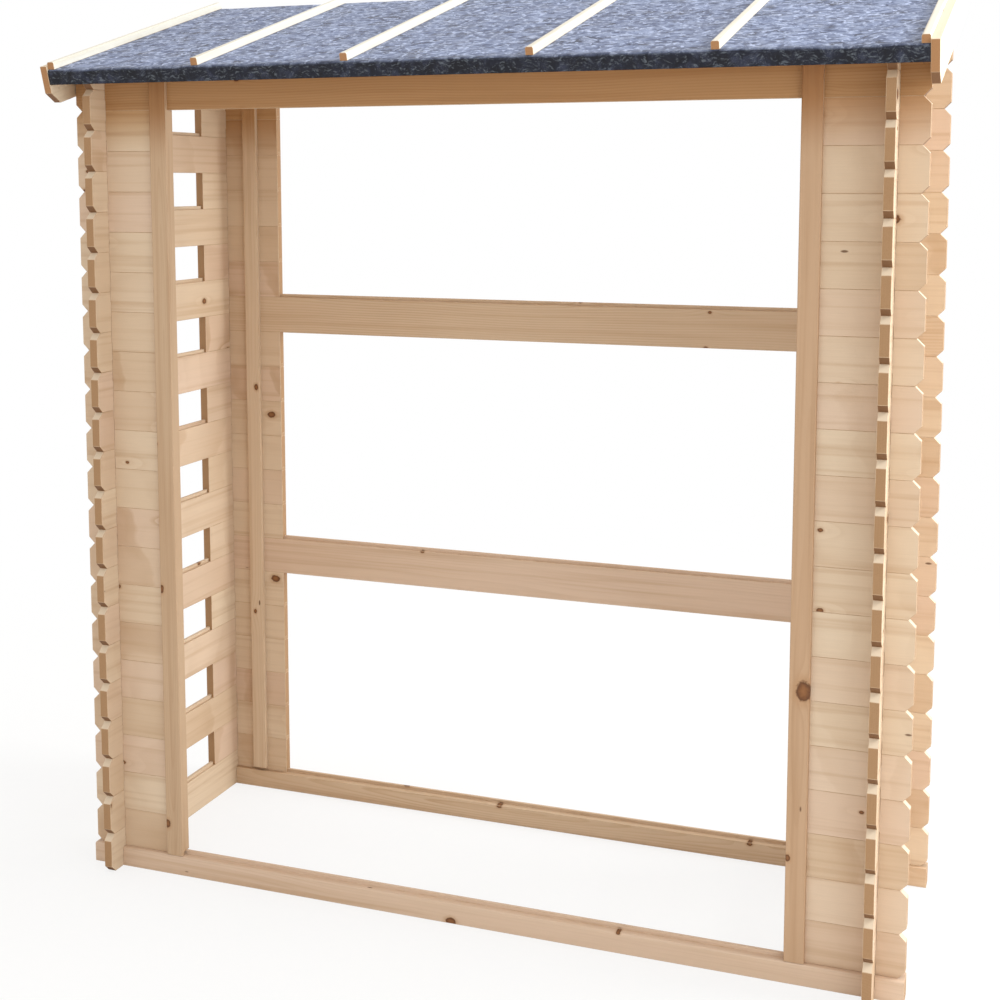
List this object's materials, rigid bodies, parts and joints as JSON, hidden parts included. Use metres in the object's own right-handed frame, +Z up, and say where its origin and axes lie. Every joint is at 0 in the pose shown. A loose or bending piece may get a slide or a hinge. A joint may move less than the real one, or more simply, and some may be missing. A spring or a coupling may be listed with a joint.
{
  "type": "log store",
  "caption": "Open-fronted timber log store with interlocking log-board corners, vented sides, an open back with rails and a felted pent roof.",
  "frame": {"origin": "on the ground, in the middle of the footprint under the roof", "axes": "+X to the right seen from the open front, +Y from the front to the back, +Z up"},
  "size_m": [1.856, 0.7298, 2.0178],
  "materials": {
    "log_board": "planed, unpainted spruce",
    "trim_wood": "planed, unpainted spruce",
    "roof_board": "rough sawn underside",
    "pale_batten": "planed, pale",
    "roof_felt": "mineral felt, matte"
  },
  "bodies": {
    "root": {"back_header": "log_board", "back_left_batten": "trim_wood", "back_left_return_even": "log_board", "back_left_return_odd": "log_board", "back_lower_rail": "log_board", "back_right_batten": "trim_wood", "back_right_return_even": "log_board", "back_right_return_odd": "log_board", "back_sill": "log_board", "back_top_board": "log_board", "back_upper_rail": "log_board", "front_header": "log_board", "front_left_return_even": "log_board", "front_left_return_odd": "log_board", "front_left_trim": "trim_wood", "front_right_return_even": "log_board", "front_right_return_odd": "log_board", "front_right_trim": "trim_wood", "front_sill": "log_board", "left_back_vent_boards": "log_board", "left_bargeboard": "trim_wood", "left_foot_board": "log_board", "left_front_vent_boards": "log_board", "left_gable_lower": "log_board", "left_gable_upper": "log_board", "left_side_boards": "log_board", "right_back_vent_boards": "log_board", "right_bargeboard": "trim_wood", "right_foot_board": "log_board", "right_front_vent_boards": "log_board", "right_gable_lower": "log_board", "right_gable_upper": "log_board", "right_side_boards": "log_board", "roof_batten_1": "pale_batten", "roof_batten_2": "pale_batten", "roof_batten_3": "pale_batten", "roof_batten_4": "pale_batten", "roof_batten_5": "pale_batten", "roof_batten_6": "pale_batten", "roof_boards_even": "roof_board", "roof_boards_odd": "roof_board", "roof_felt": "roof_felt"}
  },
  "joints": []
}
